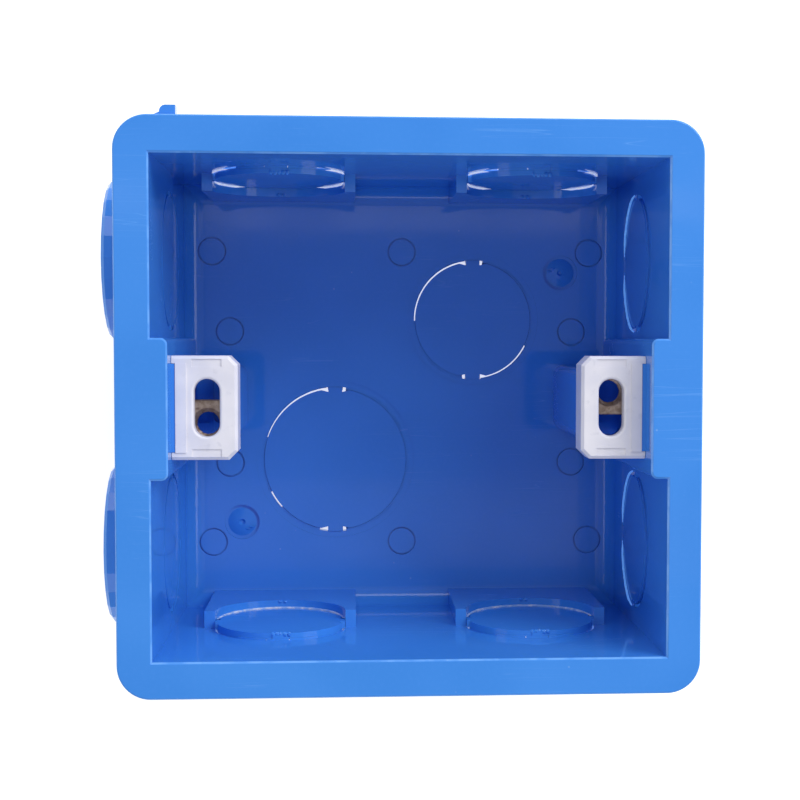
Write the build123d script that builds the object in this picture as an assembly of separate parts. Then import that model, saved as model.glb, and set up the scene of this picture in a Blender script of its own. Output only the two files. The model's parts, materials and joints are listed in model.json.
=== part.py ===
from build123d import *
import os
from math import radians, tan

# A flush wall box for an 86 mm faceplate, one plastic moulding with two screw-nut holders.
# It lies on its back: +Z out of the mouth, +Y the top side, +X the right side, millimetres.
# The origin is the centre of the back's outer face.

# Overall box
FLANGE_WIDTH = 86.0
FLANGE_HEIGHT = 84.8
FLANGE_CORNER = 5.0
FLANGE_THICK = 3.0
DEPTH = 50.0
MOUTH_WIDTH = 75.7
MOUTH_HEIGHT = 73.8
WALL = 2.0
BACK = 2.0
DRAFT = 0.85
INNER_FILLET = 3.0
OUTER_CORNER = 2.5
RIM_BREAK = 0.3

# Pillars half way up the side walls, and the grooves behind them in the outer faces
PILLAR_FACE = 35.35
PILLAR_HALF = 10.35
PILLAR_CORNER = 1.0
GROOVE_HALF = 8.3
GROOVE_FLOOR = PILLAR_FACE + WALL

# Knockouts: a disc in a hole, held by webs that cross a narrow slit
MID_Z = 24.0
WEB_GAP = 0.04
WEB_LONG = 1.4
NOTCH_DEEP = 0.55
NOTCH_LONG = 1.5
NOTCH_FLARE = 1.6
SIDE_HOLE_R = 11.1
SIDE_SLIT = 0.5
SIDE_Y = 22.5
SIDE_DISC_THICK = 1.4
SIDE_WEBS = ((0, 1.4), (180, 1.4))
SIDE_WEB_BACK = 2.0
CUP_R = 12.6
CUP_FACETS = 24
CUP_END = 46.7
CUP_FOOT = 39.7
CUP_BORE_R = 11.4
CUP_CHAMFER = 0.5
PAD_HOLE_R = 10.5
PAD_SLIT = 0.35
PAD_X = 20.3
PAD_HALF = 12.2
PAD_FACE = 33.7
PAD_DISC_FACE = 35.0
PAD_DISC_THICK = 1.5
PAD_DISC_TILT = 1.7
PAD_WEBS = ((0, 2.2), (180, 2.2))
PAD_THIN_WEBS = ((90, 1.6), (270, 1.6))
PAD_WEB_THICK = 0.6
BACK_SLIT = 0.35
BACK_DISC_THICK = 1.6
BACK_WEBS = ((90, 2.6), (270, 2.4))
LARGE_R = 12.65
LARGE_X = -11.55
LARGE_Y = -10.85
SMALL_R = 10.4
SMALL_X = 12.4
SMALL_Y = 13.5
STEP_WIDTH = 1.0
STEP_DEEP = 0.15

# Marks on the inside of the back
PIN_R = 2.45
PIN_DEEP = 0.06
PIN_LINE = 0.24
PIN_LINE_DEEP = 0.4
PIN_ROWS = ((25.2, (-32.7, 0.0, 32.7)), (11.4, (-29.7, 29.7)))
GATE_X = 27.75
GATE_Y = 21.75
GATE_R = 3.0
GATE_DEEP = 0.5
GATE_DOME_R = 2.45
GATE_PIT_R = 0.6
GATE_PIT_DEEP = 0.4

# Screw nuts and their holders
SCREW_X = 30.15
HOLDER_FACE = 45.0
HOLDER_DEEP = 6.0
HOLDER_INNER = 25.6
HOLDER_OUTER = 35.3
HOLDER_HALF = 7.7
HOLDER_NOTCH = 0.55
WING_WIDE = 1.1
HOLDER_CORNER = 1.3
HOLDER_EDGE = 0.45
PLATE_THICK = 2.2
SLOT_WIDTH = 3.8
SLOT_LENGTH = 8.6
SLOT_FILLET = 0.4
NUT_SIZE = 7.0
NUT_THICK = 2.2
NUT_HOLE_R = 1.65
NUT_SINK = 0.6
NUT_CORNER = 0.25
NUT_PLAY = 0.15
NUT_TRAVEL = 2.35
NUT_GAP = 0.05
RIDGE_WIDE = 1.6
RIDGE_HIGH = 0.2
MARK_LONG = 4.4
MARK_WIDE = 1.15
MARK_DEEP = 0.15

# Hollow towers that carry the holders and take the screw's end
TOWER_INNER = 26.6
TOWER_HALF = 5.7
TOWER_CORNER = 1.9
HOLLOW_INNER = 27.9
HOLLOW_OUTER = 32.45
HOLLOW_HALF = 4.4
HOLLOW_CORNER = 1.2
WINDOW_LOW = 4.0
WINDOW_HIGH = 37.5

# Rib on each pillar that fills the notch in the back edge of its holder
RIB_TOP = 45.1
RIB_GAP = 0.05

# Joining tab on the top side, just behind the flange
TAB_LEFT = -36.4
TAB_RIGHT = -34.1
TAB_TOP = 43.9
TAB_LONG = 1.0
TAB_CORNER = 0.9
TAB_RAMP_LONG = 2.2
TAB_RAMP_HIGH = 0.5

# Where the moulding is shared out into nodes: the flat of the back, inside the rounded foot of the walls
FLAT_HALF_X = 34.0
MITRE = (MOUTH_WIDTH - MOUTH_HEIGHT) / 2
FLAT_HALF_Y = FLAT_HALF_X - MITRE

# A length too small to see, for picking edges by place, and how far a cut runs past a face
TINY = 0.01
MARGIN = 1.0

NUT_TOP = HOLDER_FACE - PLATE_THICK - NUT_GAP
TOWER_TOP = NUT_TOP - NUT_THICK - NUT_GAP
HOLDER_BOTTOM = HOLDER_FACE - HOLDER_DEEP
SLOPE = tan(radians(DRAFT))


def block(x_range, y_range, z_range):
    """A box from three (low, high) pairs, in any order."""
    centre = [(low + high) / 2 for low, high in (x_range, y_range, z_range)]
    size = [abs(high - low) for low, high in (x_range, y_range, z_range)]
    return Pos(*centre) * Box(*size)


def downward(z):
    """A plane at height z that looks down, so that a taper narrows towards the back."""
    return Plane(origin=(0, 0, z), x_dir=(1, 0, 0), z_dir=(0, 0, -1))


def both_sides(near, far, y_half, corner, z_range):
    """Two upright prisms with rounded corners, on the left and the right, from near to far along X."""
    outline = RectangleRounded(far - near, 2 * y_half, corner)
    low, high = z_range
    middle = (near + far) / 2
    prisms = [extrude(Plane.XY.offset(low) * Pos(x, 0) * outline, high - low) for x in (-middle, middle)]
    return Compound(prisms)


def cavity(side_pillars):
    """The space inside the box, narrowing towards the back, rounded where it meets the back."""
    space = extrude(downward(DEPTH) * Rectangle(MOUTH_WIDTH, MOUTH_HEIGHT), DEPTH - BACK, taper=DRAFT)
    space = fillet(space.faces().sort_by(Axis.Z)[0].edges(), INNER_FILLET)
    return space - side_pillars - towers() - pads(MOUTH_HEIGHT / 2 + WALL / 2) - pillar_ribs()


def pillars():
    """The two upright pillars that narrow the mouth at mid height."""
    reach = MOUTH_WIDTH / 2 + WALL + PILLAR_CORNER
    return both_sides(PILLAR_FACE, reach, PILLAR_HALF, PILLAR_CORNER, (0, DEPTH))


def towers():
    """The solid towers under the nut holders, from the back up to the nuts."""
    reach = PILLAR_FACE + 2 * TOWER_CORNER
    return both_sides(TOWER_INNER, reach, TOWER_HALF, TOWER_CORNER, (0, TOWER_TOP))


def tower_hollows():
    """The shafts inside the towers, closed at the back, and the windows in their upper and lower sides."""
    shafts = both_sides(HOLLOW_INNER, HOLLOW_OUTER, HOLLOW_HALF, HOLLOW_CORNER, (BACK, TOWER_TOP + MARGIN))
    half = TOWER_HALF + MARGIN
    windows = []
    for side in (-1, 1):
        across = (side * HOLLOW_INNER, side * HOLLOW_OUTER)
        windows.append(block(across, (-half, half), (WINDOW_LOW, WINDOW_HIGH)))
    return [*shafts.solids(), *windows]


def pillar_ribs():
    """The ribs on the pillars that the back edges of the holders straddle."""
    half = HOLDER_HALF - WING_WIDE - RIB_GAP
    inner = HOLDER_OUTER - HOLDER_NOTCH + RIB_GAP
    outer = PILLAR_FACE + MARGIN
    levels = (TOWER_TOP, RIB_TOP)
    return Compound([block((side * inner, side * outer), (-half, half), levels) for side in (-1, 1)])


def pad(side_x, side_y, root, foot):
    """One raised pad, from its face to root along Y, and from foot to the middle of its knockout."""
    across = (side_x * PAD_X - PAD_HALF, side_x * PAD_X + PAD_HALF)
    return block(across, (side_y * PAD_FACE, side_y * root), (foot, MID_Z))


def pads(root):
    """The four raised pads at the back of the top and bottom walls."""
    return Compound([pad(side_x, side_y, root, 0) for side_x in (-1, 1) for side_y in (-1, 1)])


def knockout_plane(wall, x, y):
    """The plane of a knockout: origin on its centre line, normal pointing out of the box."""
    if wall == "back":
        return Plane(origin=(x, y, BACK), x_dir=(1, 0, 0), z_dir=(0, 0, -1))
    if wall == "side":
        out = 1 if x > 0 else -1
        return Plane(origin=(x, y, MID_Z), x_dir=(0, 1, 0), z_dir=(out, 0, 0))
    out = 1 if y > 0 else -1
    return Plane(origin=(x, y, MID_Z), x_dir=(1, 0, 0), z_dir=(0, out, 0))


def knockout_outline(hole_r, slit, webs):
    """A disc with webs, given as (angle, width) pairs, and a small notch on both sides of each web."""
    disc_r = hole_r - slit
    outline = Circle(disc_r)
    for angle, width in webs:
        web = Pos(disc_r, 0) * Rectangle(WEB_LONG, width)
        outline += Rot(0, 0, angle) * web
        for side in (-1, 1):
            edge = side * width / 2
            notch = Polygon(
                (disc_r - NOTCH_DEEP, edge),
                (hole_r + slit, edge),
                (hole_r + slit, edge + side * NOTCH_LONG * NOTCH_FLARE),
                (disc_r - slit / 2, edge + side * NOTCH_LONG),
                align=None,
            )
            outline -= Rot(0, 0, angle) * notch
    return outline & Circle(hole_r - WEB_GAP)


def wall_x(z):
    """Half the cavity's width at height z."""
    return MOUTH_WIDTH / 2 - (DEPTH - z) * SLOPE


def side_knockout(side_x, y, space):
    """A knockout of a side wall, flush with the drafted inner face."""
    webs = (*SIDE_WEBS, (-90 * side_x, SIDE_WEB_BACK))
    outline = knockout_outline(SIDE_HOLE_R, SIDE_SLIT, webs)
    plane = knockout_plane("side", side_x * (wall_x(MID_Z) - MARGIN), y)
    return extrude(plane * outline, MARGIN + SIDE_DISC_THICK) - space


def pad_knockout(x, side_y):
    """A knockout of the top or bottom wall, half sunk in its pad, half proud of the wall.

    Its inner face leans, so that the disc is thinner towards the mouth.
    """
    outline = knockout_outline(PAD_HOLE_R, PAD_SLIT, PAD_WEBS)
    disc = extrude(knockout_plane("level", x, side_y * PAD_DISC_FACE) * outline, PAD_DISC_THICK)
    all_webs = knockout_outline(PAD_HOLE_R, PAD_SLIT, PAD_WEBS + PAD_THIN_WEBS)
    outer = PAD_DISC_FACE + PAD_DISC_THICK - PAD_WEB_THICK
    disc += extrude(knockout_plane("level", x, side_y * outer) * all_webs, PAD_WEB_THICK)
    inside = Align.MAX if side_y > 0 else Align.MIN
    size = 2 * PAD_HOLE_R + 2 * MARGIN
    lean = Box(size, 2 * PAD_DISC_THICK, 2 * size, align=(Align.CENTER, inside, Align.CENTER))
    back_edge = Pos(x, side_y * PAD_DISC_FACE, MID_Z - PAD_HOLE_R)
    return disc - back_edge * Rot(-side_y * PAD_DISC_TILT, 0, 0) * lean


def back_knockout(x, y, hole_r):
    """A knockout of the back, flush with the back's inner face."""
    outline = knockout_outline(hole_r, BACK_SLIT, BACK_WEBS)
    return extrude(knockout_plane("back", x, y) * outline, BACK_DISC_THICK)


def knockout_holes():
    """All ten round holes, cut through their walls."""
    holes = []
    for x, y, hole_r in ((LARGE_X, LARGE_Y, LARGE_R), (SMALL_X, SMALL_Y, SMALL_R)):
        holes.append(extrude(Plane((x, y, -MARGIN)) * Circle(hole_r), BACK + 2 * MARGIN))
        holes.append(extrude(Plane((x, y, BACK - STEP_DEEP)) * Circle(hole_r + STEP_WIDTH), MARGIN))
    for side_x in (-1, 1):
        for side_y in (-1, 1):
            plane = knockout_plane("side", side_x * PILLAR_FACE, side_y * SIDE_Y)
            holes.append(extrude(plane * Circle(SIDE_HOLE_R), CUP_FOOT - PILLAR_FACE + MARGIN))
            plane = knockout_plane("level", side_x * PAD_X, side_y * (PAD_FACE - MARGIN))
            holes.append(extrude(plane * Circle(PAD_HOLE_R), 3 * WALL))
        bore = knockout_plane("side", -CUP_FOOT, side_x * SIDE_Y) * Circle(CUP_BORE_R)
        holes.append(extrude(bore, CUP_END - CUP_FOOT + MARGIN))
    return holes


def cups():
    """The two faceted conduit cups that stand out of the left wall."""
    shapes = []
    for side_y in (-1, 1):
        plane = knockout_plane("side", -(wall_x(MID_Z) + WALL / 2), side_y * SIDE_Y)
        outline = RegularPolygon(CUP_R, CUP_FACETS)
        cup = extrude(plane * outline, CUP_END - wall_x(MID_Z) - WALL / 2)
        rim = cup.faces().sort_by(Axis.X)[0].edges()
        shapes.append(chamfer(rim, CUP_CHAMFER))
    return shapes


def back_marks():
    """Shallow round marks of the ejector pins on the inside of the back, each in a fine outline."""
    marks = []
    line = Circle(PIN_R) - Circle(PIN_R - PIN_LINE)
    for row_y, columns in PIN_ROWS:
        for x in columns:
            for y in (-row_y, row_y):
                marks.append(extrude(Plane((x, y, BACK - PIN_DEEP)) * Circle(PIN_R), MARGIN))
                marks.append(extrude(Plane((x, y, BACK - PIN_LINE_DEEP)) * line, MARGIN))
    return marks


def gate_dome(x, y):
    """The dome with a pit in its middle that fills most of a round gate recess."""
    floor = BACK - GATE_DEEP
    sphere_r = (GATE_DOME_R**2 + GATE_DEEP**2) / (2 * GATE_DEEP)
    dome = Pos(x, y, BACK - sphere_r) * Sphere(sphere_r)
    post = Pos(x, y, floor) * Cylinder(GATE_DOME_R, 2 * GATE_DEEP)
    pit = Pos(x, y, BACK - GATE_PIT_DEEP / 2) * Cone(GATE_PIT_R / 3, GATE_PIT_R, GATE_PIT_DEEP)
    return (dome & post) - pit


def joining_tab():
    """The small tab on the top side, round on its left, with a low ramp beside it."""
    foot = MOUTH_HEIGHT / 2
    edge = FLANGE_HEIGHT / 2
    outline = Polygon(
        (TAB_LEFT - TAB_RAMP_LONG, foot),
        (TAB_RIGHT, foot),
        (TAB_RIGHT, TAB_TOP),
        (TAB_LEFT, TAB_TOP),
        (TAB_LEFT, edge + TAB_RAMP_HIGH),
        (TAB_LEFT - TAB_RAMP_LONG, edge - TAB_RAMP_HIGH),
        align=None,
    )
    corners = outline.vertices().group_by(Axis.Y)[-1].sort_by(Axis.X)
    outline = fillet(corners[0], TAB_CORNER)
    top = DEPTH - FLANGE_THICK
    return extrude(Plane.XY.offset(top - TAB_LONG) * outline, TAB_LONG + FLANGE_THICK / 2)


def grooves():
    """The grooves in the outer side faces, behind the pillars."""
    top = DEPTH - FLANGE_THICK
    reach = FLANGE_WIDTH / 2
    width = (-GROOVE_HALF, GROOVE_HALF)
    return [block((side * GROOVE_FLOOR, side * reach), width, (-MARGIN, top)) for side in (-1, 1)]


def moulding(space):
    """The whole blue moulding: tapered box, flange, cups, tab, pillars, ribs, towers and pads."""
    outline = RectangleRounded(MOUTH_WIDTH + 2 * WALL, MOUTH_HEIGHT + 2 * WALL, OUTER_CORNER)
    shell = extrude(downward(DEPTH) * outline, DEPTH, taper=DRAFT)
    shell = fillet(shell.faces().sort_by(Axis.Z)[0].edges(), WALL / 2)
    flange = RectangleRounded(FLANGE_WIDTH, FLANGE_HEIGHT, FLANGE_CORNER)
    body = shell + extrude(downward(DEPTH) * flange, FLANGE_THICK)
    for extra in (*cups(), joining_tab()):
        body += extra
    body -= space
    body = fillet(body.faces().sort_by(Axis.Z)[-1].outer_wire().edges(), RIM_BREAK)
    body = chamfer(body.faces().sort_by(Axis.Z)[-1].inner_wires()[0].edges(), RIM_BREAK)
    for cut in (*knockout_holes(), *grooves(), *back_marks(), *tower_hollows()):
        body -= cut
    for side in (-1, 1):
        x, y = side * GATE_X, side * GATE_Y
        body -= extrude(Plane((x, y, BACK - GATE_DEEP)) * Circle(GATE_R), MARGIN)
        body += gate_dome(x, y)
    return body


def wall_wedge(name):
    """The part of space that holds one wall with its share of the flange, mitred at the corners."""
    far = FLANGE_WIDTH
    if name in ("top", "bottom"):
        outline = Polygon((MITRE, 0), (MITRE + far, far), (-MITRE - far, far), (-MITRE, 0), align=None)
    else:
        outline = Polygon((MITRE, 0), (MITRE + far, -far), (MITRE + far, far), align=None)
    wedge = extrude(Plane.XY.offset(-MARGIN) * outline, DEPTH + 2 * MARGIN)
    return wedge if name in ("top", "right") else Rot(0, 0, 180) * wedge


def moulding_nodes(body):
    """The moulding shared out into its back, walls, towers, pads and cups."""
    regions = {}
    cup_half = CUP_R + TINY
    root = MOUTH_HEIGHT / 2 - (DEPTH - MID_Z) * SLOPE
    for name, side in (("left", -1), ("right", 1)):
        across = (side * (TOWER_INNER - MARGIN), side * PILLAR_FACE)
        regions[f"screw_tower_{name}"] = block(across, (-TOWER_HALF, TOWER_HALF), (BACK, TOWER_TOP))
        for name_y, side_y in (("top", 1), ("bottom", -1)):
            regions[f"knockout_pad_{name_y}_{name}"] = pad(side, side_y, root, BACK)
    for name, side in (("upper", 1), ("lower", -1)):
        along = (side * SIDE_Y - cup_half, side * SIDE_Y + cup_half)
        levels = (MID_Z - cup_half, MID_Z + cup_half)
        regions[f"conduit_cup_{name}"] = block((-CUP_END - MARGIN, -CUP_FOOT), along, levels)
    flat_x, flat_y = (-FLAT_HALF_X, FLAT_HALF_X), (-FLAT_HALF_Y, FLAT_HALF_Y)
    regions["back_plate"] = block(flat_x, flat_y, (-MARGIN, BACK))
    nodes = {name: body & region for name, region in regions.items()}
    rest = body
    for region in regions.values():
        rest -= region
    for name in ("top", "bottom", "left", "right"):
        nodes[f"wall_{name}"] = rest & wall_wedge(name)
    return nodes


def nut_holder(side):
    """A white cap over a tower: slotted plate, skirt round the nut, and wings that reach the pillar."""
    plate_outer = HOLDER_OUTER - HOLDER_NOTCH
    lower_half = [
        (HOLDER_INNER, HOLDER_CORNER - HOLDER_HALF),
        (HOLDER_INNER + HOLDER_CORNER, -HOLDER_HALF),
        (HOLDER_OUTER, -HOLDER_HALF),
        (HOLDER_OUTER, WING_WIDE - HOLDER_HALF),
        (plate_outer, WING_WIDE - HOLDER_HALF),
    ]
    upper_half = [(x, -y) for x, y in reversed(lower_half)]
    outline = Polygon(*lower_half, *upper_half, align=None)
    cap = extrude(Plane.XY.offset(HOLDER_BOTTOM) * outline, HOLDER_DEEP)
    face_edges = cap.faces().sort_by(Axis.Z)[-1].edges()
    cap = chamfer(face_edges.filter_by_position(Axis.X, 0, plate_outer - MARGIN), HOLDER_EDGE)
    ridge_x = (plate_outer - RIDGE_WIDE, plate_outer)
    ridge_half = HOLDER_HALF - WING_WIDE
    ridge = block(ridge_x, (-ridge_half, ridge_half), (HOLDER_FACE - MARGIN, HOLDER_FACE + RIDGE_HIGH))
    cap += ridge
    for side_y in (-1, 1):
        mark_y = side_y * (HOLDER_HALF - HOLDER_EDGE - MARK_WIDE / 2)
        cap -= Pos(SCREW_X, mark_y, HOLDER_FACE) * Box(MARK_LONG, MARK_WIDE, 2 * MARK_DEEP)
    slot = Pos(SCREW_X, 0) * SlotOverall(SLOT_LENGTH, SLOT_WIDTH, rotation=90)
    cap -= extrude(Plane.XY.offset(HOLDER_BOTTOM) * slot, HOLDER_DEEP + MARGIN)
    face_edges = cap.edges().filter_by_position(Axis.Z, HOLDER_FACE - TINY, HOLDER_FACE + TINY)
    half_slot = SLOT_LENGTH / 2 + TINY
    slot_edges = face_edges.filter_by_position(Axis.Y, -half_slot, half_slot)
    slot_edges = slot_edges.filter_by_position(Axis.X, SCREW_X - half_slot / 2, SCREW_X + half_slot / 2)
    cap = fillet(slot_edges, SLOT_FILLET)
    pocket_half = NUT_SIZE / 2
    pocket_x = (SCREW_X - pocket_half - NUT_PLAY, SCREW_X + pocket_half + NUT_PLAY)
    pocket_y = pocket_half + NUT_TRAVEL + NUT_GAP
    cap -= block(pocket_x, (-pocket_y, pocket_y), (HOLDER_BOTTOM - MARGIN, HOLDER_FACE - PLATE_THICK))
    tower_y = TOWER_HALF + NUT_GAP
    tower_x = (TOWER_INNER - NUT_GAP, HOLDER_OUTER + MARGIN)
    cap -= block(tower_x, (-tower_y, tower_y), (HOLDER_BOTTOM - MARGIN, TOWER_TOP))
    return cap if side > 0 else cap.mirror(Plane.YZ)


def square_nut(side):
    """An M4 square nut, at the end of its slot where it rests."""
    nut = Box(NUT_SIZE, NUT_SIZE, NUT_THICK)
    nut = fillet(nut.edges().filter_by(Axis.Z), NUT_CORNER)
    nut -= Cylinder(NUT_HOLE_R, NUT_THICK)
    rims = nut.edges().filter_by(GeomType.CIRCLE).filter_by(lambda edge: abs(edge.radius - NUT_HOLE_R) < TINY)
    nut = chamfer(rims.sort_by(Axis.Z)[-1], NUT_SINK)
    return Pos(side * SCREW_X, side * NUT_TRAVEL, NUT_TOP - NUT_THICK / 2) * nut


def main():
    os.makedirs("parts", exist_ok=True)
    space = cavity(pillars())
    parts = moulding_nodes(moulding(space))
    parts["knockout_back_large"] = back_knockout(LARGE_X, LARGE_Y, LARGE_R)
    parts["knockout_back_small"] = back_knockout(SMALL_X, SMALL_Y, SMALL_R)
    for name_y, side_y in (("top", 1), ("bottom", -1)):
        for name_x, side_x in (("left", -1), ("right", 1)):
            parts[f"knockout_{name_y}_{name_x}"] = pad_knockout(side_x * PAD_X, side_y)
            level = "upper" if side_y > 0 else "lower"
            parts[f"knockout_{name_x}_{level}"] = side_knockout(side_x, side_y * SIDE_Y, space)
    for name, side in (("left", -1), ("right", 1)):
        parts[f"nut_holder_{name}"] = nut_holder(side)
        parts[f"screw_nut_{name}"] = square_nut(side)
    for name, shape in parts.items():
        export_step(shape, f"parts/{name}.step")


main()
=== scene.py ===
"""Looks of the electrical junction box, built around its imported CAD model.

The box lies on its back on a pale floor with its mouth up (+Z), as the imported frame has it.
The CAD's own parts are shown and get moulded plastic. Two nuts are rebuilt here with a real
thread, and the thin flash, the broken gates and the scars that moulding leaves are added.
"""

import json
import math

import bpy
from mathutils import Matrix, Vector

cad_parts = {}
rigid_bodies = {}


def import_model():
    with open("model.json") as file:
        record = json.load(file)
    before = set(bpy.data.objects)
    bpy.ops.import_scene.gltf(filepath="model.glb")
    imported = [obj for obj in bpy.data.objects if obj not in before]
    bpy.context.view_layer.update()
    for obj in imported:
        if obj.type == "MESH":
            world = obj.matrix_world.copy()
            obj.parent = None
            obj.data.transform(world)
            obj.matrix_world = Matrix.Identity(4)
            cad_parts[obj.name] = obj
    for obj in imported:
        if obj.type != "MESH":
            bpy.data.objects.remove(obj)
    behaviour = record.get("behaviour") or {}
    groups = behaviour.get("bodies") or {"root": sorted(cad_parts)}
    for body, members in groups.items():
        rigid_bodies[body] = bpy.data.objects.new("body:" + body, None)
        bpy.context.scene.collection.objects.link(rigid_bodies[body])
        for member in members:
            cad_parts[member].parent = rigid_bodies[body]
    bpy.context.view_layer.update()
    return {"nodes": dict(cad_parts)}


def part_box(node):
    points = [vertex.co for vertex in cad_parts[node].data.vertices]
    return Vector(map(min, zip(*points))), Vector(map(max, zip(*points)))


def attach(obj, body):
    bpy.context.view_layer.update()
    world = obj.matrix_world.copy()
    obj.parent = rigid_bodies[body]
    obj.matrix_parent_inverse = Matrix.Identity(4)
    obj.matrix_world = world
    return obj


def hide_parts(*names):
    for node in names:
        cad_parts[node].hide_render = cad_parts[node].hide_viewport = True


MM = 0.001

# The camera, over the mouth and a little to one side; its turn in degrees
CAMERA_AT = (-9.27 * MM, 10.85 * MM, 292.5 * MM)
CAMERA_TURN = (-3.045, -4.008, 0.117)
CAMERA_LENS = 74.87
CAMERA_SENSOR = 36.0
CAMERA_SHIFT = (-0.0813, 0.0291)

# Soft round lights: place and target in metres, diameter in metres, power in watts
LIGHTS = {
    "upper_right_softbox": ((0.62, 0.62, 0.62), (0, 0, 0.03), 0.7, 6.9),
    "top_softbox": ((0.0, 0.85, 0.55), (0, 0, 0.03), 0.6, 2.5),
    "right_softbox": ((0.85, 0.0, 0.55), (0, 0, 0.03), 0.6, 1.8),
    "left_softbox": ((-0.85, 0.0, 0.45), (0, 0, 0.03), 0.6, 1.3),
    "bottom_softbox": ((0.0, -0.85, 0.45), (0, 0, 0.03), 0.6, 1.4),
}
WORLD_STRENGTH = 0.44
FLOOR_GLOW = 0.7

# Two long dim panels overhead that the glossy back mirrors: place and size in metres, watts
PANELS = {
    "mirrored_strip": ((0, 0.074, 0.6), (0.5, 0.016), 0.02),
    "mirrored_panel": ((0.06, -0.088, 0.6), (0.3, 0.042), 0.012),
}

# Slits of the knockouts, the gap the CAD leaves at each web, and the slope of the pads' discs
SLITS = {"back": 0.35 * MM, "pad": 0.35 * MM, "side": 0.5 * MM}
WEB_GAP = 0.04 * MM
PAD_LEAN = math.tan(math.radians(1.7))

# Skins and burrs in the slits: play round the disc, root in the hole's wall, waviness, thickness
FLASH_PLAY = 0.03 * MM
FLASH_ROOT = 0.05 * MM
FLASH_WAVE = 0.04 * MM
FLASH_THICK = 0.4 * MM
BURR_THICK = 0.3 * MM
SKIN_STEPS = 24  # for each radian of an arc

# How much of a burr's thickness is left at its ends
TORN_FADE = 0.1
BURR_FADE = 0.25
LIP_FADE = 0.3

# How bright the light from behind makes the torn plastic
BURR_GLOW = 0.5
LIP_GLOW = 0.55

# The back's slits: upper skins near the inner face, lower ones at the outer face with their lap
# under the disc. An arc no longer than WEB_SPAN, in degrees, lies under a web.
UPPER_DEEP = 0.15 * MM
UNDER_PLAY = 0.04 * MM
UNDER_LAP = 0.25 * MM
WEB_SPAN = 15

# The closed arcs in degrees, then the open ones with the width left open at each end, in mm
BACK_SLITS = (
    (
        "large",
        ((-81.5, 81.5), (84, 96), (162, 207), (222, 257.5), (264, 276)),
        (((97, 162), (0.27, 0.1)), ((207, 222), (0.24, 0.24))),
    ),
    (
        "small",
        ((-26, 80), (83, 97), (181, 260), (263, 277)),
        (((98, 181), (0.22, 0.17)), ((278, 334), (0.17, 0.21))),
    ),
)

# The pads' slits, with 90 degrees towards the mouth
PAD_FLASH_DEEP = 0.15 * MM
PAD_BURR_DEEP = 0.05 * MM
PAD_FLASH_ARCS = ((54, 80), (100, 126))
PAD_WEB_ARC = (80.3, 99.7)
TORN_THIN = 0.08 * MM
TORN_FRONT_ARCS = ((7, 44), (136, 173))
TORN_BACK_ARCS = ((189, 236), (304, 351))
PAD_BURR_ARC = (190, 350)
PAD_LIP_WIDE = 0.5 * MM
PAD_LIP_PLAY = 0.02 * MM
PAD_LIP_ARCS = ((8, 58), (122, 172))

# The side walls' slits, with 90 degrees towards the mouth
SIDE_FLASH_DEEP = 0.8 * MM
SIDE_FLASH_ARC = (16, 164)
SIDE_EDGE_WIDE = 0.2 * MM
SIDE_LIP_HIGH = 0.33 * MM
SIDE_LIP_ARCS = ((188, 262), (278, 352))
SIDE_RIDGE_HIGH = 0.15 * MM
SIDE_RIDGE_ARCS = ((12, 84), (96, 168))

# Torn stubs on the front of the pads' discs: number, spacing, shift and half sizes
STUBS = 5
STUB_STEP = 0.62 * MM
STUB_SHIFT = 0.5 * MM
STUB_SINK = 0.12 * MM
STUB_SIZE = (0.34 * MM, 0.42 * MM, 0.2 * MM)
STUB_WIDER = 0.1 * MM

# Nicks at the back of the pads' holes
NICK_STEP = 0.9 * MM
NICK_DEEP = 0.25 * MM
NICK_SIZE = (0.35 * MM, 0.3 * MM, 0.22 * MM)

# The middle of the right gate mark on the back, which the left one mirrors, and its curled slivers
GATE_AT = (27.75 * MM, 21.75 * MM, 1.85 * MM)
SLIVER_REACH = 1.5 * MM
SLIVER_STEP = 0.35 * MM
SLIVER_SIZE = (0.5 * MM, 0.16 * MM, 0.14 * MM)
SLIVER_TURNS = {1: (2.6, 3.0), -1: (-0.9, -0.5)}

# Thread and square body of the nuts
NUT_CREST_R = 1.65 * MM
NUT_ROOT_R = 2.0 * MM
NUT_PITCH = 0.7 * MM
NUT_SINK_R = 2.3 * MM
NUT_BREAK = 0.15 * MM
NUT_CORNER = 0.35 * MM
NUT_EXIT = 0.1 * MM
NUT_SIDES = 96
NUT_LEVELS = 44
NUT_SHARP = 35
CREST_SHARE = 1.3

# A lump's rows and columns of faces
LUMP_ROWS = 7
LUMP_COLUMNS = 14

FLOOR_REACH = 3.0
RIM_HEIGHT = 50 * MM


def clear_scene():
    """Removes everything a start-up file holds, so that only the frame is left."""
    for item in list(bpy.data.objects):
        bpy.data.objects.remove(item)


def linear(red, green, blue):
    """A linear colour with full alpha from the 0-255 display values."""
    parts = []
    for value in (red, green, blue):
        share = value / 255
        dark = share <= 0.04045
        parts.append(share / 12.92 if dark else ((share + 0.055) / 1.055) ** 2.4)
    return (*parts, 1.0)


# Materials


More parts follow.
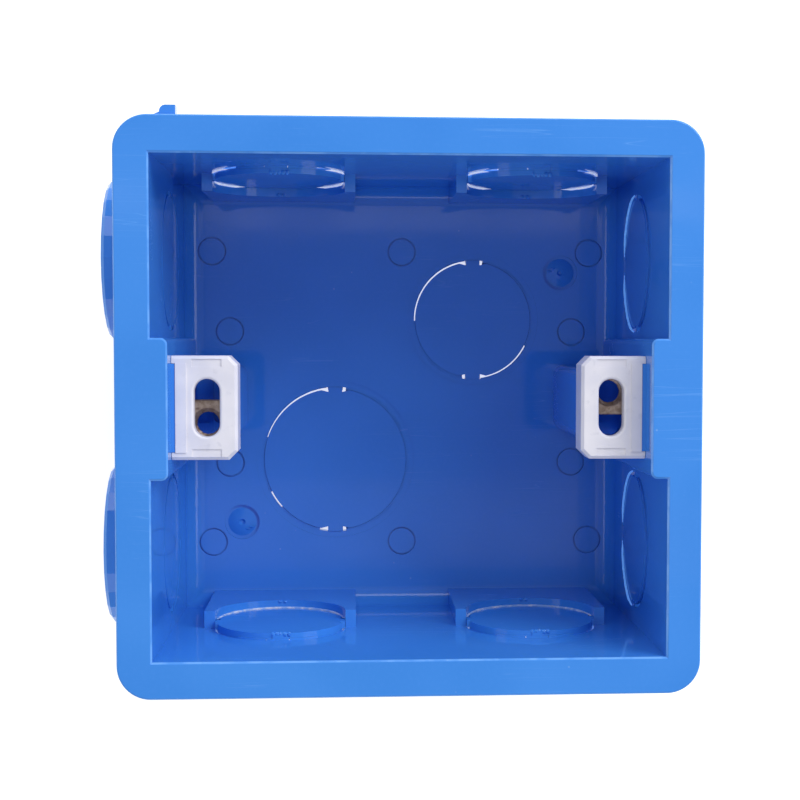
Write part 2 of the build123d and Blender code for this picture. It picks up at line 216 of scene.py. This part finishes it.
class Surface:
    """A material whose colour, roughness and bump come from a few layered patterns."""

    def __init__(self, name):
        self.material = bpy.data.materials.new(name)
        self.material.use_nodes = True
        self.tree = self.material.node_tree
        self.shader = self.tree.nodes["Principled BSDF"]
        self.place = self.tree.nodes.new("ShaderNodeTexCoord").outputs["Object"]

    def add(self, kind, **settings):
        node = self.tree.nodes.new(kind)
        for key, value in settings.items():
            setattr(node, key, value)
        return node

    def feed(self, socket, value):
        """Links an output to a socket, or sets it to a number or colour."""
        if isinstance(value, bpy.types.NodeSocket):
            self.tree.links.new(value, socket)
        else:
            socket.default_value = value

    def stretched(self, scale, turn=0.0):
        """The object's coordinates, scaled along each axis and turned about Z."""
        mapping = self.add("ShaderNodeMapping")
        self.feed(mapping.inputs["Vector"], self.place)
        mapping.inputs["Scale"].default_value = scale
        mapping.inputs["Rotation"].default_value = (0, 0, turn)
        return mapping.outputs["Vector"]

    def noise(self, scale, detail=3.0, vector=None):
        node = self.add("ShaderNodeTexNoise")
        self.feed(node.inputs["Vector"], vector or self.place)
        node.inputs["Scale"].default_value = scale
        node.inputs["Detail"].default_value = detail
        return node.outputs["Fac"]

    def dots(self, scale, radius):
        """1 inside small scattered dots, 0 elsewhere."""
        node = self.add("ShaderNodeTexVoronoi")
        self.feed(node.inputs["Vector"], self.place)
        node.inputs["Scale"].default_value = scale
        return self.band(node.outputs["Distance"], radius, 0.0)

    def band(self, value, low, high, bottom=0.0, top=1.0):
        """Maps low..high of a value onto bottom..top, smoothly and held at both ends."""
        node = self.add("ShaderNodeMapRange", interpolation_type="SMOOTHSTEP")
        self.feed(node.inputs["Value"], value)
        limits = {"From Min": low, "From Max": high, "To Min": bottom, "To Max": top}
        for key, number in limits.items():
            node.inputs[key].default_value = number
        return node.outputs["Result"]

    def math(self, operation, first, second):
        node = self.add("ShaderNodeMath", operation=operation)
        self.feed(node.inputs[0], first)
        self.feed(node.inputs[1], second)
        return node.outputs["Value"]

    def height(self):
        """The coordinate along Z."""
        node = self.add("ShaderNodeSeparateXYZ")
        self.feed(node.inputs["Vector"], self.place)
        return node.outputs["Z"]

    def mix(self, share, first, second):
        node = self.add("ShaderNodeMix", data_type="RGBA")
        self.feed(node.inputs["Factor"], share)
        self.feed(node.inputs["A"], first)
        self.feed(node.inputs["B"], second)
        return node.outputs["Result"]

    def scratches(self, scale, turn, thin):
        """Fine lines that run along X, turned about Z."""
        field = self.noise(scale, 2.0, self.stretched((0.03, 1.0, 1.0), turn))
        offset = self.math("ABSOLUTE", self.math("SUBTRACT", field, 0.5), 0.0)
        return self.band(offset, thin, 0.0)

    def finish(self, colour, roughness, bumps):
        """Connects colour, roughness and a chain of bumps: (height, strength, distance)."""
        self.feed(self.shader.inputs["Base Color"], colour)
        self.feed(self.shader.inputs["Roughness"], roughness)
        normal = None
        for height, strength, distance in bumps:
            bump = self.add("ShaderNodeBump")
            self.feed(bump.inputs["Height"], height)
            bump.inputs["Strength"].default_value = strength
            bump.inputs["Distance"].default_value = distance
            if normal:
                self.feed(bump.inputs["Normal"], normal)
            normal = bump.outputs["Normal"]
        self.feed(self.shader.inputs["Normal"], normal)
        return self.material


def blue_plastic():
    """Glossy moulded PVC: slow flow clouds, dust specks, a scuffed rim and a painted highlight
    that makes the rounded edge under the rim paler.
    """
    surface = Surface("moulded_blue_plastic")
    clouds = surface.band(surface.noise(38.0, 2.0), 0.35, 0.65)
    grain = surface.noise(1500.0, 2.0)
    colour = surface.mix(clouds, linear(64, 138, 227), linear(58, 133, 222))
    colour = surface.mix(surface.band(grain, 0.45, 0.75, 0.0, 0.12), colour, linear(78, 146, 234))
    height = surface.height()
    on_rim = surface.band(height, RIM_HEIGHT - 0.1 * MM, RIM_HEIGHT - 0.01 * MM)
    near_rim = surface.band(height, RIM_HEIGHT - 0.45 * MM, RIM_HEIGHT - 0.25 * MM)
    edge = surface.math("MULTIPLY", near_rim, surface.band(on_rim, 1.0, 0.0))
    uneven = surface.band(surface.noise(260.0), 0.4, 0.6, 0.25, 0.7)
    painted_edge_glint = surface.math("MULTIPLY", edge, uneven)
    # Painted highlight: the rounded edge just below the rim top is made paler, unevenly, as a
    # glint of light along it
    colour = surface.mix(painted_edge_glint, colour, linear(118, 176, 244))
    crossed = (surface.scratches(420.0, 0.5, 0.006), surface.scratches(380.0, 2.1, 0.005))
    rubs = surface.math("MAXIMUM", *crossed)
    patch = surface.band(surface.noise(55.0), 0.5, 0.62)
    rubs = surface.math("MULTIPLY", rubs, patch)
    rim_rubs = surface.math("MULTIPLY", rubs, surface.band(on_rim, 0.0, 1.0, 0.12, 0.22))
    colour = surface.mix(rim_rubs, colour, linear(112, 172, 242))
    dusty = surface.band(surface.noise(120.0), 0.52, 0.6)
    specks = surface.math("MULTIPLY", surface.dots(330.0, 0.075), dusty)
    colour = surface.mix(surface.math("MULTIPLY", specks, 0.5), colour, linear(150, 190, 235))
    smooth = surface.band(surface.noise(70.0, 3.0), 0.3, 0.7, 0.04, 0.1)
    roughness = surface.math("ADD", smooth, surface.math("MULTIPLY", rubs, 0.2))
    surface.shader.inputs["Specular IOR Level"].default_value = 0.35
    sinks = surface.noise(22.0, 1.0)
    bumps = [(sinks, 0.1, 0.12 * MM), (grain, 0.25, 0.004 * MM), (rubs, 0.2, 0.004 * MM)]
    return surface.finish(colour, roughness, bumps)


def slit_light_plastic(name, thin, thick, glow=0.0):
    """Pale plastic for the burrs and lips in the slits: its pale tones are painted light coming in
    through the slits, and the glow stands for light from behind.
    """
    surface = Surface(name)
    surface.shader.inputs["Emission Color"].default_value = thin
    surface.shader.inputs["Emission Strength"].default_value = glow
    torn = surface.band(surface.noise(900.0, 4.0), 0.35, 0.6)
    colour = surface.mix(torn, thin, thick)
    roughness = surface.band(surface.noise(1600.0), 0.3, 0.7, 0.45, 0.7)
    return surface.finish(colour, roughness, [(surface.noise(2200.0), 0.5, 0.03 * MM)])


def white_plastic():
    """Satin nylon with a faint cool cast, fine grain and a few grey handling marks."""
    surface = Surface("moulded_white_plastic")
    clouds = surface.band(surface.noise(180.0, 3.0), 0.35, 0.65)
    colour = surface.mix(clouds, linear(224, 223, 233), linear(215, 215, 228))
    marks = surface.band(surface.noise(650.0, 4.0), 0.6, 0.72, 0.0, 0.3)
    colour = surface.mix(marks, colour, linear(188, 190, 206))
    grain = surface.noise(2600.0, 2.0)
    roughness = surface.band(surface.noise(400.0), 0.3, 0.7, 0.36, 0.5)
    bumps = [(surface.noise(220.0, 1.0), 0.3, 0.03 * MM), (grain, 0.35, 0.012 * MM)]
    return surface.finish(colour, roughness, bumps)


def nut_steel():
    """Dull plated steel, brown in patches, with the marks of the stamping run along it."""
    surface = Surface("plated_nut_steel")
    surface.shader.inputs["Metallic"].default_value = 1.0
    patches = surface.band(surface.noise(700.0, 4.0), 0.35, 0.65)
    colour = surface.mix(patches, linear(178, 162, 155), linear(136, 118, 110))
    stains = surface.band(surface.noise(1900.0, 3.0), 0.55, 0.7, 0.0, 0.6)
    colour = surface.mix(stains, colour, linear(98, 78, 72))
    drawn = surface.noise(2400.0, 3.0, surface.stretched((0.08, 1.0, 1.0)))
    roughness = surface.band(drawn, 0.3, 0.7, 0.28, 0.5)
    bumps = [(drawn, 0.4, 0.012 * MM), (surface.noise(1500.0), 0.3, 0.02 * MM)]
    return surface.finish(colour, roughness, bumps)


def dress(nodes):
    """Gives each CAD node the material of its slot, and returns the materials by slot."""
    makers = (blue_plastic, white_plastic, nut_steel)
    made = {maker.__name__: maker() for maker in makers}
    for node in nodes.values():
        for place in node.material_slots:
            place.material = made[place.material.name]
    return made


# Pieces in mesh code


def mesh_piece(name, points, faces, material, body):
    """Makes a piece from its points and faces; it rides on a CAD body."""
    mesh = bpy.data.meshes.new(name)
    mesh.from_pydata(points, [], faces)
    mesh.validate()
    mesh.update()
    piece = bpy.data.objects.new(name, mesh)
    bpy.context.scene.collection.objects.link(piece)
    mesh.materials.append(material)
    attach(piece, body)
    return piece


def smooth_by_angle(piece, degrees):
    """Smooth shading, but sharp wherever two faces meet at more than that angle."""
    piece.data.shade_smooth()
    piece.data.set_sharp_from_angle(angle=math.radians(degrees))


def middle(node):
    """The middle of a CAD node's box."""
    low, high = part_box(node)
    return Vector([(a + b) / 2 for a, b in zip(low, high)])


def ragged(angle, seed):
    """An uneven value in 0..1 along an edge, the same on every run."""
    waves = math.sin(23 * angle + seed) + math.sin(41 * angle + 2 * seed) + math.sin(67 * angle)
    return 0.5 + waves / 6  # 6 keeps the three waves' sum within 0..1


def arc_skin(name, centre, axes, radii, span, thick, material, body="box", fade=1.0):
    """A thin ragged skin along part of a slit: an arc between radii, its span in degrees.

    axes are the arc's two directions and the direction of its thickness. radii are the inner
    one at the start and the end, and the outer one. fade is how much of the thickness is left
    at the ends.
    """
    across, along, out = (Vector(axis) for axis in axes)
    first, last, outer = radii
    start, end = (math.radians(angle) for angle in span)
    steps = max(8, int((end - start) * SKIN_STEPS))
    points, faces = [], []
    for step in range(steps + 1):
        angle = start + (end - start) * step / steps
        way = across * math.cos(angle) + along * math.sin(angle)
        kept = min(1.0, fade + 4 * min(step, steps - step) / steps)
        depth = thick * kept * (0.8 + 0.2 * ragged(angle, 1))
        edge = first + (last - first) * step / steps + FLASH_WAVE * ragged(angle, 2)
        for radius in (edge, outer):
            points.append(centre + way * radius)
            points.append(centre + way * radius + out * depth)
    for step in range(steps):
        a, b = 4 * step, 4 * step + 4
        for i, j in ((0, 2), (2, 3), (3, 1), (1, 0)):
            faces.append((a + i, a + j, b + j, b + i))
    tail = 4 * steps
    faces += [(0, 1, 3, 2), (tail, tail + 2, tail + 3, tail + 1)]
    return mesh_piece(name, points, faces, material, body)


def slit_radii(node, axis, slit):
    """The radii of the slit round a knockout whose webs reach furthest along an axis."""
    low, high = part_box(node)
    hole_r = (high[axis] - low[axis]) / 2 + WEB_GAP
    disc_r = hole_r - slit
    return disc_r, hole_r


def back_skins(blue):
    """Skins in the back's slits, which leave only thin arcs and a spot by each web open."""
    flat = ((1, 0, 0), (0, 1, 0), (0, 0, -1))
    for size, closed, open_arcs in BACK_SLITS:
        node = f"knockout_back_{size}"
        disc_r, hole_r = slit_radii(node, 1, SLITS["back"])
        low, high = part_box(node)
        under, upper = middle(node), middle(node)
        under.z = low[2] - UNDER_PLAY
        upper.z = high[2] - UPPER_DEEP
        thick = under.z - UNDER_PLAY
        root_r = hole_r + FLASH_ROOT
        lap_r, edge_r = disc_r - UNDER_LAP, disc_r + FLASH_PLAY
        for count, span in enumerate(closed):
            below = (lap_r, lap_r, root_r)
            arc_skin(f"skin_{node}_{count}", under, flat, below, span, thick, blue)
            if span[1] - span[0] > WEB_SPAN:
                above = (edge_r, edge_r, root_r)
                arc_skin(f"flash_{node}_{count}", upper, flat, above, span, thick, blue)
        for count, (span, widths) in enumerate(open_arcs):
            narrowed = [disc_r + width * MM for width in widths]
            arc_skin(f"lip_{node}_{count}", upper, flat, (*narrowed, root_r), span, thick, blue)


def pad_skins(level, side, blue, pale):
    """Skins that close the front of a pad's slit, and pale burrs where it has torn open; their
    pale colour, and on the top pads their glow, are painted light coming in through the slit.
    """
    node = f"knockout_{level}_{side}"
    side_y = 1 if level == "top" else -1
    low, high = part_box(node)
    disc_r, hole_r = slit_radii(node, 0, SLITS["pad"])
    inner_face, outer_face = (low[1], high[1]) if side_y > 0 else (high[1], low[1])
    edge_r, root_r = disc_r + FLASH_PLAY, hole_r + FLASH_ROOT
    back, face = middle(node), middle(node)
    back.y = outer_face - side_y * PAD_FLASH_DEEP
    face.y = inner_face + side_y * (disc_r * PAD_LEAN + PAD_BURR_DEEP)
    outward = ((1, 0, 0), (0, 0, 1), (0, side_y, 0))
    leaning = ((1, 0, 0), (0, side_y * PAD_LEAN, 1), (0, -side_y, 0))
    closed = (edge_r, edge_r, root_r)
    for count, span in enumerate(PAD_FLASH_ARCS):
        arc_skin(f"flash_{node}_{count}", back, outward, closed, span, FLASH_THICK, blue)
    web_r = disc_r - FLASH_ROOT
    web = (web_r, web_r, hole_r - WEB_GAP / 4)
    arc_skin(f"flash_{node}_web", back, outward, web, PAD_WEB_ARC, FLASH_THICK, blue, node)
    if level == "top":
        thin_r = root_r - TORN_THIN
        tapers = (edge_r, thin_r, root_r), (thin_r, edge_r, root_r)
        rows = (("front", back, outward, TORN_FRONT_ARCS), ("back", face, leaning, TORN_BACK_ARCS))
        for place, centre, axes, spans in rows:
            for count, (span, taper) in enumerate(zip(spans, tapers)):
                name = f"burr_{node}_{place}_{count}"
                arc_skin(name, centre, axes, taper, span, BURR_THICK, pale, fade=TORN_FADE)
    else:
        name = f"burr_{node}_back"
        arc_skin(name, face, leaning, closed, PAD_BURR_ARC, BURR_THICK, pale, fade=BURR_FADE)
        lip_r = disc_r - PAD_LIP_WIDE
        under = (lip_r, lip_r, disc_r - PAD_LIP_PLAY)
        back.y = outer_face - side_y * FLASH_ROOT
        for count, span in enumerate(PAD_LIP_ARCS):
            name = f"lip_{node}_{count}"
            arc_skin(name, back, outward, under, span, FLASH_THICK, blue, node)


def side_skins(side, level, blue, pale):
    """A recessed skin in a side wall's slit, and on the right raised edges round the knockout; the
    pale, glowing lips among them are painted light coming in through the slit.
    """
    node = f"knockout_{side}_{level}"
    side_x = 1 if side == "right" else -1
    low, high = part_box(node)
    disc_r, hole_r = slit_radii(node, 1, SLITS["side"])
    centre = middle(node)
    centre.z = low[2] + hole_r - WEB_GAP
    inner_face = low[0] if side_x > 0 else high[0]
    centre.x = inner_face + side_x * SIDE_FLASH_DEEP
    edge_r = disc_r + FLASH_PLAY
    closed = (edge_r, edge_r, hole_r + FLASH_ROOT)
    inward = ((0, 1, 0), (0, 0, 1), (side_x, 0, 0))
    arc_skin(f"flash_{node}", centre, inward, closed, SIDE_FLASH_ARC, FLASH_THICK, blue)
    if side == "right":
        proud = ((0, 1, 0), (0, 0, 1), (-side_x, 0, 0))
        centre.x = inner_face + side_x * FLASH_ROOT
        lip_r, ridge_r = hole_r - FLASH_PLAY, disc_r - SIDE_EDGE_WIDE
        lip, ridge = (lip_r, lip_r, hole_r + SIDE_EDGE_WIDE), (ridge_r, ridge_r, disc_r)
        for count, span in enumerate(SIDE_LIP_ARCS):
            name = f"lip_{node}_{count}"
            arc_skin(name, centre, proud, lip, span, SIDE_LIP_HIGH, pale, fade=LIP_FADE)
        for count, span in enumerate(SIDE_RIDGE_ARCS):
            name = f"ridge_{node}_{count}"
            arc_skin(name, centre, proud, ridge, span, SIDE_RIDGE_HIGH, blue, node)


def all_skins(blue):
    """The thin skins and burrs that moulding leaves in the slits of all knockouts."""
    # Painted light: the pale colours of the burrs and lips, and the glow of the top and side ones,
    # stand for light coming in through the slits; the colour called stretched is the side lips'
    # darker lit tone
    white, pale_blue = linear(226, 232, 244), linear(150, 190, 240)
    lit, stretched = linear(100, 160, 228), linear(60, 125, 215)
    pale = {
        "top": slit_light_plastic("lit_white_plastic", white, pale_blue, BURR_GLOW),
        "bottom": slit_light_plastic("pale_painted_light_plastic", white, pale_blue),
        "side": slit_light_plastic("lit_blue_plastic", lit, stretched, LIP_GLOW),
    }
    back_skins(blue)
    for side in ("left", "right"):
        for level in ("top", "bottom"):
            pad_skins(level, side, blue, pale[level])
        for level in ("upper", "lower"):
            side_skins(side, level, blue, pale["side"])


def nut_outline(half, count):
    """Points round a square with rounded corners, at even angles, counter-clockwise."""
    points = []
    core = half - NUT_CORNER
    for step in range(count):
        angle = 2 * math.pi * step / count
        way = (math.cos(angle), math.sin(angle))
        reach = half / max(abs(way[0]), abs(way[1]))
        x, y = way[0] * reach, way[1] * reach
        if abs(x) > core and abs(y) > core:
            corner = Vector((math.copysign(core, x), math.copysign(core, y)))
            bend = (Vector((x, y)) - corner).normalized() * NUT_CORNER
            x, y = corner + bend
        points.append((x, y))
    return points


def threaded_nut(node, material):
    """A square nut with a helical thread between two countersinks, in place of a CAD nut."""
    low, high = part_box(node)
    centre = middle(node)
    half = (high[0] - low[0]) / 2
    thick = high[2] - low[2]
    points, faces = [], []
    for level in range(NUT_LEVELS + 1):
        z = low[2] + thick * level / NUT_LEVELS
        for step in range(NUT_SIDES):
            turn = step / NUT_SIDES
            phase = (z / NUT_PITCH - turn) % 1.0
            flank = min(1.0, CREST_SHARE * abs(2 * phase - 1))
            radius = NUT_CREST_R + (NUT_ROOT_R - NUT_CREST_R) * flank
            sink = max(NUT_SINK_R - (high[2] - z), NUT_ROOT_R + NUT_EXIT - (z - low[2]))
            radius = max(radius, sink)
            angle = 2 * math.pi * turn
            x, y = radius * math.cos(angle), radius * math.sin(angle)
            points.append((centre.x + x, centre.y + y, z))
    outline = nut_outline(half, NUT_SIDES)
    shrink = 1 - NUT_BREAK / half
    upper, lower = high[2] - NUT_BREAK, low[2] + NUT_BREAK
    rows = ((high[2], shrink), (upper, 1.0), (lower, 1.0), (low[2], shrink))
    for z, scale in rows:
        points += [(centre.x + x * scale, centre.y + y * scale, z) for x, y in outline]
    rings = NUT_LEVELS + 1 + len(rows)
    for ring in range(rings):
        near, far = ring * NUT_SIDES, (ring + 1) % rings * NUT_SIDES
        for step in range(NUT_SIDES):
            after = (step + 1) % NUT_SIDES
            faces.append((near + step, far + step, far + after, near + after))
    piece = mesh_piece(f"threaded_{node}", points, faces, material, node)
    smooth_by_angle(piece, NUT_SHARP)
    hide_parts(node)


def lump(name, centre, size, seed, material, body):
    """A small rough lump of torn plastic: a closed form with an uneven surface."""
    tip = Vector((0, 0, size[2]))
    points, faces = [Vector(centre) - tip], []
    for row in range(1, LUMP_ROWS):
        tilt = math.pi * row / LUMP_ROWS
        for column in range(LUMP_COLUMNS):
            turn = 2 * math.pi * column / LUMP_COLUMNS
            swell = 0.75 + 0.35 * ragged(turn + 1.7 * row, seed)
            x, y = math.sin(tilt) * math.cos(turn), math.sin(tilt) * math.sin(turn)
            way = Vector((x, y, -math.cos(tilt)))
            points.append(Vector(centre) + Vector([a * b * swell for a, b in zip(way, size)]))
    points.append(Vector(centre) + tip)
    last = len(points) - 1
    top = 1 + (LUMP_ROWS - 2) * LUMP_COLUMNS
    for column in range(LUMP_COLUMNS):
        after = (column + 1) % LUMP_COLUMNS
        faces.append((0, 1 + after, 1 + column))
        faces.append((last, top + column, top + after))
        for row in range(LUMP_ROWS - 2):
            near, far = 1 + row * LUMP_COLUMNS, 1 + (row + 1) * LUMP_COLUMNS
            faces.append((near + column, near + after, far + after, far + column))
    mesh_piece(name, points, faces, material, body)


def pad_scars(level, side, material):
    """Torn stubs on the front edge of a pad's knockout, and nicks at the back of its hole."""
    side_y = 1 if level == "top" else -1
    node = f"knockout_{level}_{side}"
    disc_r, _ = slit_radii(node, 0, SLITS["pad"])
    place = middle(node)
    front_z = place.z + disc_r
    for count in range(STUBS):
        shift = (count - STUBS // 2) * STUB_STEP + STUB_SHIFT
        spot = (place.x + shift, place.y, front_z - STUB_SINK)
        size = (STUB_SIZE[0] + STUB_WIDER * (count % 2), *STUB_SIZE[1:])
        lump(f"stub_{node}_{count}", spot, size, count + 1.3 * side_y, material, node)
    low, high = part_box(f"knockout_pad_{level}_{side}")
    face = (low if side_y > 0 else high)[1] + side_y * NICK_DEEP
    back_z = place.z - disc_r - SLITS["pad"]
    for count in range(2):
        spot = (place.x + (count - 0.5) * NICK_STEP, face, back_z)
        lump(f"nick_{level}_{side}_{count}", spot, NICK_SIZE, count, material, "box")


def gate_slivers(side, material):
    """Two curled slivers on a gate mark of the back; side is 1 on the right and -1 on the left."""
    name = "right" if side > 0 else "left"
    x, y, z = side * GATE_AT[0], side * GATE_AT[1], GATE_AT[2]
    for count, turn in enumerate(SLIVER_TURNS[side]):
        reach = SLIVER_REACH + SLIVER_STEP * count
        spot = (x + reach * math.cos(turn), y + reach * math.sin(turn), z)
        lump(f"gate_sliver_{name}_{count}", spot, SLIVER_SIZE, count, material, "box")


def all_scars(material):
    """What is left where the moulding was broken from its gates and its stubs were torn off."""
    for level in ("top", "bottom"):
        for side in ("left", "right"):
            pad_scars(level, side, material)
    for side in (-1, 1):
        gate_slivers(side, material)


# Floor, lights and camera


def pale_floor():
    """A plain floor that glows a little, so that it stays near white."""
    mesh = bpy.data.meshes.new("floor")
    ways = ((-1, -1), (1, -1), (1, 1), (-1, 1))
    corners = [(x * FLOOR_REACH, y * FLOOR_REACH, 0) for x, y in ways]
    mesh.from_pydata(corners, [], [(0, 1, 2, 3)])
    floor = bpy.data.objects.new("floor", mesh)
    bpy.context.scene.collection.objects.link(floor)
    surface = Surface("pale_floor")
    surface.shader.inputs["Base Color"].default_value = (0.6, 0.6, 0.6, 1)
    surface.shader.inputs["Roughness"].default_value = 0.8
    surface.shader.inputs["Emission Color"].default_value = (1, 1, 1, 1)
    surface.shader.inputs["Emission Strength"].default_value = FLOOR_GLOW
    floor.data.materials.append(surface.material)


def area_light(name, shape, place, power):
    """An area light at a place, facing straight down."""
    data = bpy.data.lights.new(name, "AREA")
    data.shape = shape
    data.energy = power
    light = bpy.data.objects.new(name, data)
    bpy.context.scene.collection.objects.link(light)
    light.location = place
    return light


def studio():
    """Round softboxes that look at the box, flat panels overhead, and an even white room."""
    for name, (place, target, size, power) in LIGHTS.items():
        light = area_light(name, "DISK", place, power)
        light.data.size = size
        view = Vector(target) - Vector(place)
        light.rotation_euler = view.to_track_quat("-Z", "Y").to_euler()
    for name, (place, size, power) in PANELS.items():
        light = area_light(name, "RECTANGLE", place, power)
        light.data.size, light.data.size_y = size
    world = bpy.data.worlds.new("studio_room")
    bpy.context.scene.world = world
    world.use_nodes = True
    background = world.node_tree.nodes["Background"]
    background.inputs["Color"].default_value = (1, 1, 1, 1)
    background.inputs["Strength"].default_value = WORLD_STRENGTH
    bpy.context.scene.view_settings.view_transform = "Standard"


def camera():
    """The camera, at the photograph's viewing angle."""
    data = bpy.data.cameras.new("photo_camera")
    data.lens = CAMERA_LENS
    data.sensor_width = CAMERA_SENSOR
    data.shift_x, data.shift_y = CAMERA_SHIFT
    data.clip_start = 0.01
    data.clip_end = 20
    item = bpy.data.objects.new("photo_camera", data)
    bpy.context.scene.collection.objects.link(item)
    item.location = CAMERA_AT
    item.rotation_euler = [math.radians(turn) for turn in CAMERA_TURN]
    bpy.context.scene.camera = item


clear_scene()
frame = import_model()
plastics = dress(frame["nodes"])
all_skins(plastics["blue_plastic"])
all_scars(plastics["blue_plastic"])
for side in ("left", "right"):
    threaded_nut(f"screw_nut_{side}", plastics["nut_steel"])
pale_floor()
studio()
camera()
